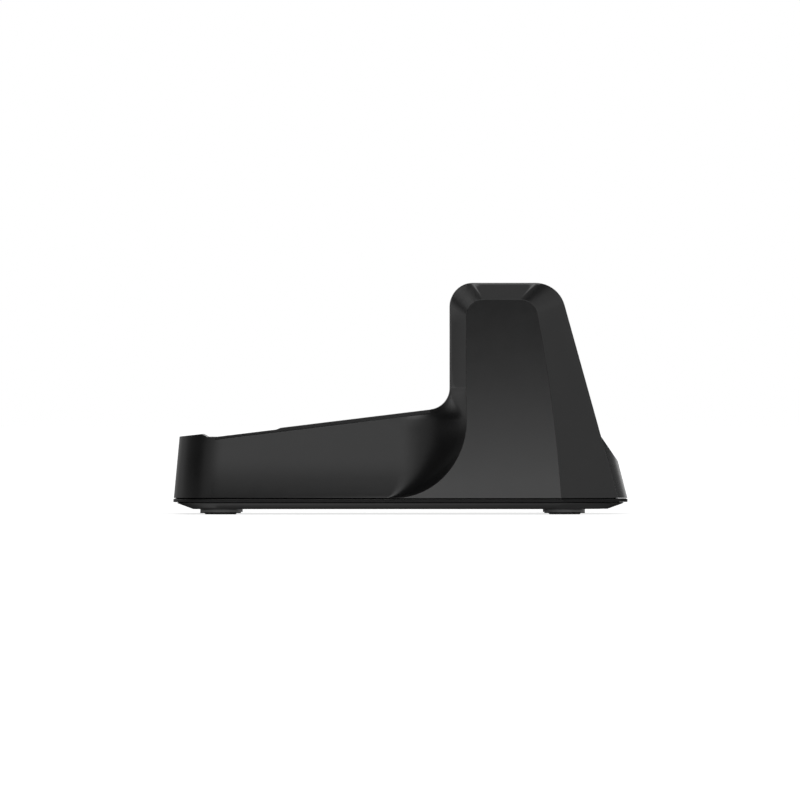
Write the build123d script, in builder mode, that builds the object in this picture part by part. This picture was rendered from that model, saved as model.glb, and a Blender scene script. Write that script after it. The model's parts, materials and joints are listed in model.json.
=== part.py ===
from build123d import *
import math
import os

# Desk base of a cordless telephone: sloping key deck in front, tall handset cradle behind.
# Frame: origin at the centre of the footprint on the desk, +Z up, -Y the front, +X the user's right.
# All sizes in millimetres.

os.makedirs("parts", exist_ok=True)

# ---------------------------------------------------------------- driving dimensions
LENGTH = 126.0
WIDTH = 100.0
HEIGHT = 64.2

# heights of the stacked parts, from the desk up
RING_BOTTOM = 0.35
FLOOR_BOTTOM = 1.47
FLOOR_TOP = 3.15
TRIM_BOTTOM = 3.4
TRIM_TOP = 4.2
BODY_BOTTOM = 4.5
GROOVE_DEPTH = 0.7

# footprint
FRONT_Y = -LENGTH / 2
REAR_Y = LENGTH / 2
FRONT_CORNER_R = 12.8
REAR_FLAT_Y = 60.8
OBLIQUE_SUM = 94.9
PORT_HALF_WIDTH = 27.5
PORT_CORNER_R = 4.2
PORT_TOP_Z = 21.7
PORT_EDGE_Y = 60.3
PORT_EDGE_Z = 14.8
CHAMFER_SLOPE = math.tan(math.radians(20.3))
CHAMFER_TOP = 3.5

# deck
DECK_ANGLE = 6.95
DECK_SLOPE = math.tan(math.radians(DECK_ANGLE))
DECK_Z_AT_ZERO = 26.93
DECK_THICKNESS = 2.2
FRONT_LEAN = 0.092
LIP_FRONT_Z = 21.2
LIP_TOP_Z = 22.25
LIP_REAR_Y = -55.1
LAND_Z = 21.46
LAND_FRONT_Y = -53.6
DECK_BODY_REAR_Y = 20.0
PANEL_FRONT_Y = -51.5
PANEL_REAR_Y = 8.4
PANEL_STEP_Y = -34.6
PANEL_FRONT_THICKNESS = 0.76
PANEL_THICKNESS = 1.1
PANEL_HALF_WIDTH = 35.2
PANEL_END_GAP = 0.03
DECK_HALF_WIDTH = 38.7
DECK_FOOT_LEAN = 0.09
DECK_BELLY_R = 133.0
DECK_BELLY_TOP = 15.0
CUT_HALF_WIDTH = 60.0
CUT_FRONT_Y = -80.0

# tower
TOWER_FRONT_Y = 13.7
TOWER_FRONT_R = 6.3
TOWER_REAR_R = 8.4
REAR_LEAN = 0.278
REAR_Y_AT_BODY = 60.36
CORE_HALF_WIDTH = 34.1
TAPER_END = 52.0
TAPER_FRONT_LOW_Y = 17.9
TAPER_FRONT_HIGH_Y = 23.5
TAPER_TOP_Z = 53.8
TAPER_FRONT_R = 3.5
TAPER_REAR_R = 1.5
BELL_R = 414.05
BELL_CENTRE = (454.95, 90.81)
WALL = 2.2

# cove that the tower's skirt sweeps into, beside the deck
COVE_Y = -1.9
COVE_Z = 26.1
COVE_SEMI_Y = 20.2
COVE_SEMI_Z = 21.6
COVE_TURN_AT_LEDGE = 80.0
COVE_TURN_AT_TOP = 58.0
COVE_ARC_AT_LEDGE = 0.03
COVE_ARC_AT_TOP = 0.98
COVE_STEPS = 15
SWEEP_STEPS = 9
SWEEP_FOOT_Z = 29.1
SWEEP_MIDDLE = (12.19, 31.1)
SWEEP_TOP_Z = 35.1
BEVEL_TURN = 67.4
BEVEL_RIM_Y = 18.06
BEVEL_ARC = 0.02
SKIRT_RIM_Y = 4.0

# handset well
WELL_HALF_WIDTH = 27.0
WELL_FRONT_Y = 17.2
WELL_REAR_Y = 39.2
WELL_FLOOR_TOP = 31.0
CUP_WALL = 1.5
NOTCH_HALF_WIDTH = 15.0
NOTCH_BOTTOM = 51.0
NOTCH_R = 7.0
WELL_CORNER_R = 4.0

# circuit boards
BOARD_FRONT_Y = -26.0
BOARD_REAR_Y = 56.4
BOARD_BOTTOM = 5.0
BOARD_THICKNESS = 1.6
BOARD_TOP = BOARD_BOTTOM + BOARD_THICKNESS
BOARD_WIDTH = 62.0
SHIELD_CENTRE = (-13.0, 6.0)
SHIELD_SIZE = (20.0, 24.0)
SHIELD_HEIGHT = 2.6
CHIP_CENTRE = (12.0, 2.0)
CHIP_SIDE = 12.0
CHIP_HEIGHT = 1.4
CAPACITOR_CENTRES = [(12.0, 36.0), (20.0, 36.0), (25.5, 28.0)]
CAPACITOR_R = 3.15
CAPACITOR_HEIGHT = 9.0
TRANSFORMER_CENTRE = (-14.0, 33.0)
TRANSFORMER_CORE = (13.0, 11.0)
TRANSFORMER_WINDING = (13.0, 15.0)
TRANSFORMER_HEIGHT = 9.5
WINDING_HEIGHT = 5.5
BALLAST_SIZE = (46.0, 22.0)
BALLAST_Y = -6.0
BALLAST_THICKNESS = 1.6
ANTENNA_SIZE = (1.0, 15.0, 24.0)
ANTENNA_Z = 46.0

# keys, in the deck plane: name, x, y along the slope, width, depth, corner radius
KEYS = [
    ("play_stop_key", 0.0, -20.0, 16.0, 9.0, 4.4),
    ("skip_back_key", -17.0, -20.0, 10.5, 7.0, 2.4),
    ("skip_forward_key", 17.0, -20.0, 10.5, 7.0, 2.4),
    ("delete_key", -18.5, -8.5, 9.0, 6.0, 2.4),
    ("volume_down_key", -6.0, -8.5, 9.0, 6.0, 2.4),
    ("volume_up_key", 6.0, -8.5, 9.0, 6.0, 2.4),
    ("answer_on_key", 18.5, -8.5, 9.0, 6.0, 2.4),
    ("page_key", 0.0, 0.5, 14.0, 5.0, 2.4),
]
KEY_GAP = 0.35
KEY_FLANGE = 1.0
KEY_FLANGE_DEPTH = 1.2
KEY_FLANGE_THICKNESS = 0.9
KEY_STEM_R = 1.5
KEY_STEM_DEPTH = 3.3
KEY_EDGE_R = 0.35
KEY_DOME_R = 2.4
KEY_DOME_HEIGHT = 0.8
KEY_BOARD_SIZE = (66.6, 35.0)
KEY_BOARD_Y = -13.0
MAT_SIZE = (58.0, 33.0)

# round things
FOOT_CENTRES = {
    "rubber_foot_front_left": (-37.0, -49.9),
    "rubber_foot_front_right": (37.0, -49.9),
    "rubber_foot_rear_left": (-32.0, 45.5),
    "rubber_foot_rear_right": (32.0, 45.5),
}
FOOT_RING_R = 5.65
FOOT_R = 4.45
FOOT_SEAT_DEPTH = 0.85
COOLING_SLOT_COUNT = 6
COOLING_SLOT_X = 13.0
COOLING_SLOT_FIRST_Y = 8.0
COOLING_SLOT_PITCH = 4.0
COOLING_SLOT_LENGTH = 18.0
COOLING_SLOT_WIDTH = 1.6
SCREW_CENTRES = [(-26.0, -50.0), (26.0, -50.0), (-40.0, 30.0), (40.0, 30.0)]
SCREW_R = 1.5
SCREW_HEAD_R = 2.75
SCREW_SEAT_Z = 5.2
SCREW_POST_R = 4.0
POST_TOP = 7.0
BOARD_POST_R = 2.6
BOARD_SCREW_R = 1.0
BOARD_SCREW_BORE = 2.2
BOARD_SCREW_HEAD_R = 2.0
BOARD_SCREW_HEAD = 1.3
BOARD_SCREW_CENTRES = [(-28.0, -22.0), (28.0, -22.0), (-28.0, 48.0), (28.0, 48.0)]
CONTACT_X = 6.5
CONTACT_Y = (WELL_FRONT_Y + WELL_REAR_Y) / 2
CONTACT_CENTRES = {"left": (-CONTACT_X, CONTACT_Y), "right": (CONTACT_X, CONTACT_Y)}
CONTACT_PLAY = 0.05
CUP_FLOOR = 2.0
CARRIER_SIZE = (22.0, 8.0)
CONTACT_BOARD_SIZE = (24.0, 10.0)
SPRING_R = 1.5
SPRING_WIRE_R = 0.15
CONTACT_R = 1.1
CONTACT_HEAD_R = 1.9
CONTACT_STEP_Z = 26.6
CONTACT_BOARD_TOP = 22.0
CONTACT_STICKS_OUT = 1.5

# inside the deck
HOLLOW_HALF_WIDTH = 34.0
HOLLOW_REAR = (17.0, 27.0)
NOSE_HOLLOW_HALF_WIDTH = 30.4
NOSE_WALL_LOW = 2.6
NOSE_WALL_HIGH = 4.8
NOSE_ROOF = 3.0
TOWER_HOLLOW_HALF_WIDTH = 31.6
SKIRT_HOLLOW_Y = (20.0, 39.0)
SKIRT_HOLLOW_LOW_X = 46.6
SKIRT_HOLLOW_HIGH_X = 41.5
SKIRT_HOLLOW_TOP = 38.0
BOSS_R = 3.2
BOSS_BORE = 9.0
REAR_BOSS_TOP = 34.0
KEY_POST_R = 1.2
KEY_WINDOW_HALF = 30.0
KEY_WINDOW_Y = -13.2
KEY_WINDOW_DEPTH = 37.0
KEY_BOARD_DROP = 6.0
KEY_BOARD_THICKNESS = 1.2
MAT_THICKNESS = 0.8
KEY_POST_CENTRES = [(-32.0, 3.0), (32.0, 3.0), (-32.0, -29.0), (32.0, -29.0)]
SLOT_COUNT = 5
SLOT_FIRST_Y = -37.2
SLOT_PITCH = 2.9
SLOT_LENGTH = 24.0
SLOT_WIDTH = 1.3
RIBBON_Y = -12.0
RIBBON_WIDTH = 12.0
RIBBON_THICKNESS = 0.3
SPEAKER_Y = -43.0
SPEAKER_R = 13.5
BASKET_RIM = 1.2
BASKET_DEPTH = 3.0
BASKET_FLOOR = 0.8
MAGNET_R = 7.0
MAGNET_THICKNESS = 3.4
CONE_THICKNESS = 0.3
LIGHT_CENTRES = {"message_light": (-13.5, 1.0), "charge_light": (13.5, 1.0)}
LIGHT_R = 1.2
LIGHT_FLANGE_R = 1.9
LIGHT_FLANGE = 1.0
LED_HEIGHT = 0.8
LED_SIZE = (2.0, 1.4)

# sockets at the back
SOCKET_WINDOW_HALF = 22.0
SOCKET_WINDOW_TOP = 17.0
SOCKET_FRONT_Y = 44.0
SOCKET_REAR_Y = 57.8
LINE_JACK_X = -11.0
POWER_JACK_X = 12.0
SOCKET_AXIS_Z = 10.6
SOCKET_HEIGHT = 8.4
LINE_JACK_WIDTH = 13.2
LINE_JACK_OPENING = (9.8, 6.6)
LINE_JACK_DEPTH = 11.0
POWER_JACK_WIDTH = 9.0
POWER_JACK_BORE_R = 2.85
POWER_JACK_DEPTH = 9.5
POWER_JACK_PIN_R = 1.0
TRIM_WINDOW_HALF = 36.0
TRIM_WINDOW_DEPTH = 106.0
TRIM_WINDOW_Y = -2.0

DECK_NORMAL = Axis((0, 0, 0), (0, -math.sin(math.radians(DECK_ANGLE)), math.cos(math.radians(DECK_ANGLE))))


def deck_z(y):
    """Height of the deck's bare surface at y."""
    return DECK_Z_AT_ZERO + DECK_SLOPE * y


def rear_y(z):
    """Rear face of the tower at height z."""
    return REAR_Y_AT_BODY - REAR_LEAN * (z - BODY_BOTTOM)


def deck_plane(y=0.0, lift=0.0):
    """Plane lying in the deck's surface at y, raised by lift along its normal."""
    tilt = math.radians(DECK_ANGLE)
    plane = Plane(origin=(0, y, deck_z(y)), x_dir=(1, 0, 0), z_dir=(0, -math.sin(tilt), math.cos(tilt)))
    return plane.offset(lift)


def save(part, name):
    """Label a finished piece and write its STEP file."""
    part.label = name
    export_step(part, f"parts/{name}.step")


# ---------------------------------------------------------------- shared outlines
def footprint(inset):
    """Outline of the base plate, drawn in by inset."""
    half = WIDTH / 2 - inset
    front = FRONT_Y + inset
    corner = FRONT_CORNER_R - inset
    flat = REAR_FLAT_Y - inset
    port = PORT_HALF_WIDTH - inset
    oblique = OBLIQUE_SUM - math.sqrt(2) * inset
    with BuildSketch() as outline:
        with BuildLine():
            Polyline(
                (half, front + corner),
                (half, oblique - half),
                (oblique - flat, flat),
                (port, flat),
                (port - 1.2, REAR_Y - inset),
                (0, REAR_Y - inset),
            )
            RadiusArc((half, front + corner), (half - corner, front), corner)
            Line((half - corner, front), (0, front))
            mirror(about=Plane.YZ)
        make_face()
    return outline.sketch


def tower_outline(x, front_low, front_high, top, rear_shift, front_r, rear_r):
    """Side outline of the tower, standing at x."""
    with BuildSketch(Plane.YZ.offset(x)) as outline:
        with BuildLine():
            Polyline(
                (front_low, BODY_BOTTOM),
                (front_high, top),
                (rear_y(top) - rear_shift, top),
                (rear_y(BODY_BOTTOM) - rear_shift, BODY_BOTTOM),
                close=True,
            )
        make_face()
        fillet(outline.vertices().group_by(Axis.Y)[-1].sort_by(Axis.X)[0], front_r)
        fillet(outline.vertices().group_by(Axis.Y)[-1].sort_by(Axis.X)[-1], rear_r)
    return outline.sketch


def wall_x(z):
    """Side wall of the deck: it leans in, more so towards the belly's top, then evenly."""
    belly = min(z, DECK_BELLY_TOP) - BODY_BOTTOM
    top_lean = DECK_FOOT_LEAN + (DECK_BELLY_TOP - BODY_BOTTOM) / DECK_BELLY_R
    lean_in = DECK_FOOT_LEAN * belly + belly**2 / (2 * DECK_BELLY_R)
    return DECK_HALF_WIDTH - lean_in - top_lean * max(z - DECK_BELLY_TOP, 0)


def bell_x(z):
    """Outermost reach of the flared sides at height z."""
    return BELL_CENTRE[0] - math.sqrt(BELL_R**2 - (BELL_CENTRE[1] - z) ** 2)


def outside_section(z, wall, rim_y, turn, arc_share):
    """What is cut away outside the deck at one height.

    It is bounded by the front face, the round corner, the deck's wall and a cove. The cove is an arc that
    turns away from the wall by turn degrees over arc_share of its reach; then it runs straight to the rim.
    """
    front = FRONT_Y + FRONT_LEAN * (z - TRIM_TOP)
    bend = 1 - math.sqrt(0.5)
    turned = math.radians(turn)
    reach = bell_x(z) - wall
    arc_x = wall + arc_share * reach
    arc_y = rim_y - (1 - arc_share) * reach / math.tan(turned)
    arc_r = arc_share * reach / (1 - math.cos(turned))
    start_y = arc_y - arc_r * math.sin(turned)
    half_x = wall + arc_r * (1 - math.cos(turned / 2))
    half_y = start_y + arc_r * math.sin(turned / 2)
    out_y = arc_y + (CUT_HALF_WIDTH - arc_x) / math.tan(turned)
    with BuildSketch(Plane.XY.offset(z)) as section:
        with BuildLine():
            Polyline(
                (arc_x, arc_y),
                (CUT_HALF_WIDTH, out_y),
                (CUT_HALF_WIDTH, CUT_FRONT_Y),
                (-1, CUT_FRONT_Y),
                (-1, front),
            )
            Line((-1, front), (wall - FRONT_CORNER_R, front))
            ThreePointArc(
                (wall - FRONT_CORNER_R, front),
                (wall - FRONT_CORNER_R * bend, front + FRONT_CORNER_R * bend),
                (wall, front + FRONT_CORNER_R),
            )
            Line((wall, front + FRONT_CORNER_R), (wall, start_y))
            ThreePointArc((wall, start_y), (half_x, half_y), (arc_x, arc_y))
        make_face()
    return section.sketch


def cove_section(angle):
    """Outside section at one step of the cove: angle 0 is the ledge, 90 degrees the cove's top."""
    z = COVE_Z - COVE_SEMI_Z * math.cos(angle)
    rise = math.sin(angle)
    turn = COVE_TURN_AT_LEDGE + (COVE_TURN_AT_TOP - COVE_TURN_AT_LEDGE) * rise
    arc_share = COVE_ARC_AT_LEDGE + (COVE_ARC_AT_TOP - COVE_ARC_AT_LEDGE) * rise
    return outside_section(z, wall_x(z), COVE_Y + COVE_SEMI_Y * rise, turn, arc_share)


def sweep_section(climb):
    """Outside section at one step of the sweep: climb 0 is the cove's top, 1 lies on the tower's bevel."""
    ease = climb**2 * (3 - 2 * climb)
    z = COVE_Z + (SWEEP_TOP_Z - COVE_Z) * climb
    wall = wall_x(COVE_Z) + (CORE_HALF_WIDTH + 0.05 - wall_x(COVE_Z)) * climb
    rim_y = COVE_Y + COVE_SEMI_Y + (BEVEL_RIM_Y - COVE_Y - COVE_SEMI_Y) * ease
    turn = COVE_TURN_AT_TOP + (BEVEL_TURN - COVE_TURN_AT_TOP) * ease
    arc_share = COVE_ARC_AT_TOP + (BEVEL_ARC - COVE_ARC_AT_TOP) * ease
    return outside_section(z, wall, rim_y, turn, arc_share)


def chamfer_inset(z):
    """How far the bevelled underside has drawn in at height z."""
    return (CHAMFER_TOP - z) / CHAMFER_SLOPE


def body_footprint(inset):
    """Outline of the upper housing where it stands on the trim plate, drawn in by inset."""
    half = WIDTH / 2 - inset
    wall = DECK_HALF_WIDTH - inset
    front = FRONT_Y + inset
    corner = FRONT_CORNER_R - inset
    rear = REAR_Y_AT_BODY - inset
    oblique = CORE_HALF_WIDTH + REAR_Y_AT_BODY - math.sqrt(2) * inset
    with BuildSketch() as outline:
        with BuildLine():
            Line((0, front), (wall - corner, front))
            RadiusArc((wall, front + corner), (wall - corner, front), corner)
            Polyline(
                (wall, front + corner),
                (wall, SKIRT_RIM_Y),
                (half, SKIRT_RIM_Y),
                (half, oblique - half),
                (oblique - rear, rear),
                (0, rear),
            )
            mirror(about=Plane.YZ)
        make_face()
    return outline.sketch


def well_outline(grow):
    """Rounded rectangle of the handset well, grown by grow."""
    middle = (WELL_FRONT_Y + WELL_REAR_Y) / 2
    with BuildSketch() as outline:
        with Locations((0, middle)):
            RectangleRounded(
                2 * (WELL_HALF_WIDTH + grow), WELL_REAR_Y - WELL_FRONT_Y + 2 * grow, WELL_CORNER_R + grow
            )
    return outline.sketch


def notch_outline(grow):
    """Notch in the front wall of the well, seen from the front."""
    with BuildSketch() as outline:
        with Locations((0, NOTCH_BOTTOM - grow + 20)):
            RectangleRounded(2 * (NOTCH_HALF_WIDTH + grow), 40, NOTCH_R)
    return outline.sketch


# ---------------------------------------------------------------- upper housing, outside
outer_args = (TOWER_FRONT_Y, TOWER_FRONT_Y, HEIGHT, 0, TOWER_FRONT_R, TOWER_REAR_R)

cove_steps = [cove_section(math.pi / 2 * step / COVE_STEPS) for step in range(COVE_STEPS + 1)]
sweep_steps = [sweep_section(step / SWEEP_STEPS) for step in range(SWEEP_STEPS + 1)]

# everything outside the deck: below the ledge, beside the cove, and beside the sweep above it
with BuildPart() as outside:
    extrude(cove_steps[0], amount=-3)
    loft(sections=cove_steps, ruled=True)
    loft(sections=sweep_steps, ruled=True)

with BuildPart() as housing_half:
    # tower: straight core, then a taper that bevels its front, top and rear edges
    extrude(tower_outline(0, *outer_args), amount=CORE_HALF_WIDTH)
    loft(
        sections=[
            tower_outline(CORE_HALF_WIDTH, *outer_args),
            tower_outline(
                TAPER_END,
                TAPER_FRONT_LOW_Y,
                TAPER_FRONT_HIGH_Y,
                TAPER_TOP_Z,
                TAPER_END - CORE_HALF_WIDTH,
                TAPER_FRONT_R,
                TAPER_REAR_R,
            ),
        ],
        ruled=True,
    )
    # deck with its front lip, and the sweep up into the tower
    with BuildSketch(Plane.YZ):
        with BuildLine():
            Polyline(
                (DECK_BODY_REAR_Y, BODY_BOTTOM),
                (FRONT_Y - 1.5, BODY_BOTTOM),
                (FRONT_Y - 1.5, LIP_FRONT_Z),
                (LIP_REAR_Y, LIP_TOP_Z),
                (LAND_FRONT_Y, LAND_Z),
                (PANEL_FRONT_Y, LAND_Z),
                (PANEL_FRONT_Y, deck_z(PANEL_FRONT_Y)),
                (PANEL_REAR_Y, deck_z(PANEL_REAR_Y)),
                (PANEL_REAR_Y, SWEEP_FOOT_Z),
            )
            ThreePointArc((PANEL_REAR_Y, SWEEP_FOOT_Z), SWEEP_MIDDLE, (TOWER_FRONT_Y, SWEEP_TOP_Z))
            Polyline(
                (TOWER_FRONT_Y, SWEEP_TOP_Z),
                (DECK_BODY_REAR_Y, SWEEP_TOP_Z),
                (DECK_BODY_REAR_Y, BODY_BOTTOM),
            )
        make_face()
    extrude(amount=TAPER_END)
    # bell: the sides flare out towards the base plate
    with BuildSketch(Plane.XZ.offset(-80)):
        with BuildLine():
            bell_foot = (bell_x(BODY_BOTTOM), BODY_BOTTOM)
            bell_middle = (bell_x(HEIGHT / 2), HEIGHT / 2)
            bell_top = (bell_x(HEIGHT + 5.0), HEIGHT + 5.0)
            Polyline(bell_foot, (0, BODY_BOTTOM), (0, HEIGHT + 5.0), bell_top)
            ThreePointArc(bell_foot, bell_middle, bell_top)
        make_face()
    extrude(amount=160, mode=Mode.INTERSECT)
    # deck wall, front corner and cove
    add(outside.part, mode=Mode.SUBTRACT)


# ---------------------------------------------------------------- upper housing
with BuildPart() as upper_housing:
    add(housing_half.part)
    mirror(about=Plane.YZ)
    # foot rim that stands on the trim plate inside a shadow groove
    extrude(Plane.XY.offset(TRIM_TOP) * body_footprint(GROOVE_DEPTH), amount=BODY_BOTTOM - TRIM_TOP)
    # hollow of the deck
    with BuildSketch(Plane.YZ):
        with BuildLine():
            Polyline(
                (PANEL_FRONT_Y, 0),
                (PANEL_FRONT_Y, deck_z(PANEL_FRONT_Y) - DECK_THICKNESS),
                (PANEL_REAR_Y, deck_z(PANEL_REAR_Y) - DECK_THICKNESS),
                HOLLOW_REAR,
                (HOLLOW_REAR[0], 0),
                close=True,
            )
        make_face()
    extrude(amount=HOLLOW_HALF_WIDTH, both=True, mode=Mode.SUBTRACT)
    with BuildSketch(Plane.YZ):
        with BuildLine():
            Polyline(
                (FRONT_Y + NOSE_WALL_LOW, 0),
                (FRONT_Y + NOSE_WALL_HIGH, LAND_Z - NOSE_ROOF),
                (PANEL_FRONT_Y, LAND_Z - NOSE_ROOF),
                (PANEL_FRONT_Y, 0),
                close=True,
            )
        make_face()
    extrude(amount=NOSE_HOLLOW_HALF_WIDTH, both=True, mode=Mode.SUBTRACT)
    # hollow of the tower
    with BuildSketch(Plane.YZ):
        with BuildLine():
            Polyline(
                (TOWER_FRONT_Y + 2.0, 0),
                (TOWER_FRONT_Y + 2.0, HEIGHT - 6.0),
                (TOWER_FRONT_Y + 6.0, HEIGHT - WALL),
                (rear_y(HEIGHT) - 6.5, HEIGHT - WALL),
                (rear_y(HEIGHT) - 2.0, HEIGHT - 7.0),
                (rear_y(0) - 2.6, 0),
                close=True,
            )
        make_face()
    extrude(amount=TOWER_HOLLOW_HALF_WIDTH, both=True, mode=Mode.SUBTRACT)
    # hollow of the flared skirt
    with BuildSketch(Plane.XZ.offset(-SKIRT_HOLLOW_Y[0])):
        Polygon(
            (-SKIRT_HOLLOW_LOW_X, 0),
            (SKIRT_HOLLOW_LOW_X, 0),
            (SKIRT_HOLLOW_LOW_X, BODY_BOTTOM),
            (SKIRT_HOLLOW_HIGH_X, SKIRT_HOLLOW_TOP),
            (-SKIRT_HOLLOW_HIGH_X, SKIRT_HOLLOW_TOP),
            (-SKIRT_HOLLOW_LOW_X, BODY_BOTTOM),
            align=None,
        )
    extrude(amount=SKIRT_HOLLOW_Y[0] - SKIRT_HOLLOW_Y[1], mode=Mode.SUBTRACT)
    # handset well, with a notch that shows the handset's front
    extrude(Plane.XY.offset(WELL_FLOOR_TOP) * well_outline(CUP_WALL), amount=HEIGHT, mode=Mode.SUBTRACT)
    extrude(Plane.XZ.offset(-WELL_FRONT_Y) * notch_outline(0), amount=12, mode=Mode.SUBTRACT)
    # window under the key panel, and speaker slots in front of it
    with BuildSketch(deck_plane()):
        with Locations((0, KEY_WINDOW_Y)):
            Rectangle(2 * KEY_WINDOW_HALF, KEY_WINDOW_DEPTH)
        for slot in range(SLOT_COUNT):
            with Locations((0, SLOT_FIRST_Y - slot * SLOT_PITCH)):
                SlotOverall(SLOT_LENGTH, SLOT_WIDTH)
    extrude(amount=-2 * DECK_THICKNESS, mode=Mode.SUBTRACT)
    # window for the sockets in the rear wall
    with Locations((0, REAR_FLAT_Y, (TRIM_TOP + SOCKET_WINDOW_TOP) / 2)):
        Box(2 * SOCKET_WINDOW_HALF, 18.0, SOCKET_WINDOW_TOP - TRIM_TOP, mode=Mode.SUBTRACT)
    # screw bosses
    for x, y in SCREW_CENTRES:
        boss_top = deck_z(y) - DECK_THICKNESS + 0.8 if y < 0 else REAR_BOSS_TOP
        with BuildSketch(Plane.XY.offset(POST_TOP)):
            with Locations((x, y)):
                Circle(BOSS_R)
        extrude(amount=boss_top - POST_TOP)
        with BuildSketch(Plane.XY.offset(POST_TOP)):
            with Locations((x, y)):
                Circle(SCREW_R)
        extrude(amount=BOSS_BORE, mode=Mode.SUBTRACT)
    # posts that hold the key board under the deck
    for x, y in KEY_POST_CENTRES:
        with BuildSketch(deck_plane(lift=-KEY_BOARD_DROP)):
            with Locations((x, y)):
                Circle(KEY_POST_R)
        extrude(amount=KEY_BOARD_DROP - 1.0)
save(upper_housing.part, "upper_housing")

# ---------------------------------------------------------------- trim plate and bottom cover
with BuildPart() as trim_plate:
    widest = Plane.XY.offset(CHAMFER_TOP) * footprint(0)
    loft(
        sections=[Plane.XY.offset(TRIM_BOTTOM) * footprint(chamfer_inset(TRIM_BOTTOM)), widest],
        ruled=True,
    )
    extrude(widest, amount=TRIM_TOP - CHAMFER_TOP)
    with BuildSketch(Plane.XY.offset(TRIM_BOTTOM)):
        with Locations((0, TRIM_WINDOW_Y)):
            Rectangle(2 * TRIM_WINDOW_HALF, TRIM_WINDOW_DEPTH)
    extrude(amount=TRIM_TOP - TRIM_BOTTOM, mode=Mode.SUBTRACT)
    with BuildSketch(Plane.XY.offset(TRIM_BOTTOM)):
        with Locations(*SCREW_CENTRES):
            Circle(SCREW_POST_R + 0.4)
    extrude(amount=TRIM_TOP - TRIM_BOTTOM, mode=Mode.SUBTRACT)
save(trim_plate.part, "trim_plate")

with BuildPart() as bottom_cover:
    loft(
        sections=[Plane.XY.offset(z) * footprint(chamfer_inset(z)) for z in (FLOOR_BOTTOM, FLOOR_TOP)],
        ruled=True,
    )
    # rim that carries the trim plate
    with BuildSketch(Plane.XY.offset(FLOOR_TOP)):
        add(footprint(2.2))
        add(footprint(4.4), mode=Mode.SUBTRACT)
    extrude(amount=TRIM_BOTTOM - FLOOR_TOP)
    # screw posts and board posts
    with BuildSketch(Plane.XY.offset(FLOOR_TOP - 0.4)):
        with Locations(*SCREW_CENTRES):
            Circle(SCREW_POST_R)
    extrude(amount=POST_TOP - FLOOR_TOP + 0.4)
    with BuildSketch(Plane.XY.offset(FLOOR_TOP - 0.4)):
        with Locations(*BOARD_SCREW_CENTRES):
            Circle(BOARD_POST_R)
    extrude(amount=BOARD_BOTTOM - FLOOR_TOP + 0.4)
    with BuildSketch(Plane.XY.offset(FLOOR_BOTTOM)):
        with Locations(*SCREW_CENTRES):
            Circle(SCREW_HEAD_R + 0.25)
    extrude(amount=SCREW_SEAT_Z - FLOOR_BOTTOM, mode=Mode.SUBTRACT)
    with BuildSketch(Plane.XY.offset(SCREW_SEAT_Z)):
        with Locations(*SCREW_CENTRES):
            Circle(SCREW_R + 0.1)
    extrude(amount=POST_TOP - SCREW_SEAT_Z, mode=Mode.SUBTRACT)
    with BuildSketch(Plane.XY.offset(BOARD_BOTTOM - BOARD_SCREW_BORE)):
        with Locations(*BOARD_SCREW_CENTRES):
            Circle(BOARD_SCREW_R)
    extrude(amount=BOARD_SCREW_BORE, mode=Mode.SUBTRACT)
    # stepped foot rings with a seat for the rubber feet
    for x, y in FOOT_CENTRES.values():
        with BuildSketch(Plane.XY.offset(RING_BOTTOM)):
            with Locations((x, y)):
                Circle(FOOT_RING_R)
        extrude(amount=FLOOR_BOTTOM - RING_BOTTOM + 0.3)
        with BuildSketch(Plane.XY.offset(RING_BOTTOM)):
            with Locations((x, y)):
                Circle(FOOT_R)
        extrude(amount=FOOT_SEAT_DEPTH, mode=Mode.SUBTRACT)
    # cooling slots
    with BuildSketch(Plane.XY.offset(FLOOR_BOTTOM)):
        for side in (-1, 1):
            for slot in range(COOLING_SLOT_COUNT):
                with Locations((side * COOLING_SLOT_X, COOLING_SLOT_FIRST_Y + slot * COOLING_SLOT_PITCH)):
                    SlotOverall(COOLING_SLOT_LENGTH, COOLING_SLOT_WIDTH)
    extrude(amount=FLOOR_TOP - FLOOR_BOTTOM, mode=Mode.SUBTRACT)
save(bottom_cover.part, "bottom_cover")

# ---------------------------------------------------------------- feet and screws
for name, (x, y) in FOOT_CENTRES.items():
    with BuildPart() as foot:
        with BuildSketch():
            with Locations((x, y)):
                Circle(FOOT_R - 0.05)
        extrude(amount=RING_BOTTOM + FOOT_SEAT_DEPTH)
        fillet(foot.edges().group_by(Axis.Z)[0], 0.3)
    save(foot.part, name)

with BuildPart() as case_screws:
    for x, y in SCREW_CENTRES:
        with BuildSketch(Plane.XY.offset(SCREW_SEAT_Z - 1.8)):
            with Locations((x, y)):
                Circle(SCREW_HEAD_R)
                RegularPolygon(0.95, 6, mode=Mode.SUBTRACT)
        extrude(amount=1.2)
        with BuildSketch(Plane.XY.offset(SCREW_SEAT_Z - 0.6)):
            with Locations((x, y)):
                Circle(SCREW_HEAD_R)
        extrude(amount=0.6)
        with BuildSketch(Plane.XY.offset(SCREW_SEAT_Z)):
            with Locations((x, y)):
                Circle(SCREW_R - 0.02)
        extrude(amount=BOSS_BORE)
save(case_screws.part, "case_screws")

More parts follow.
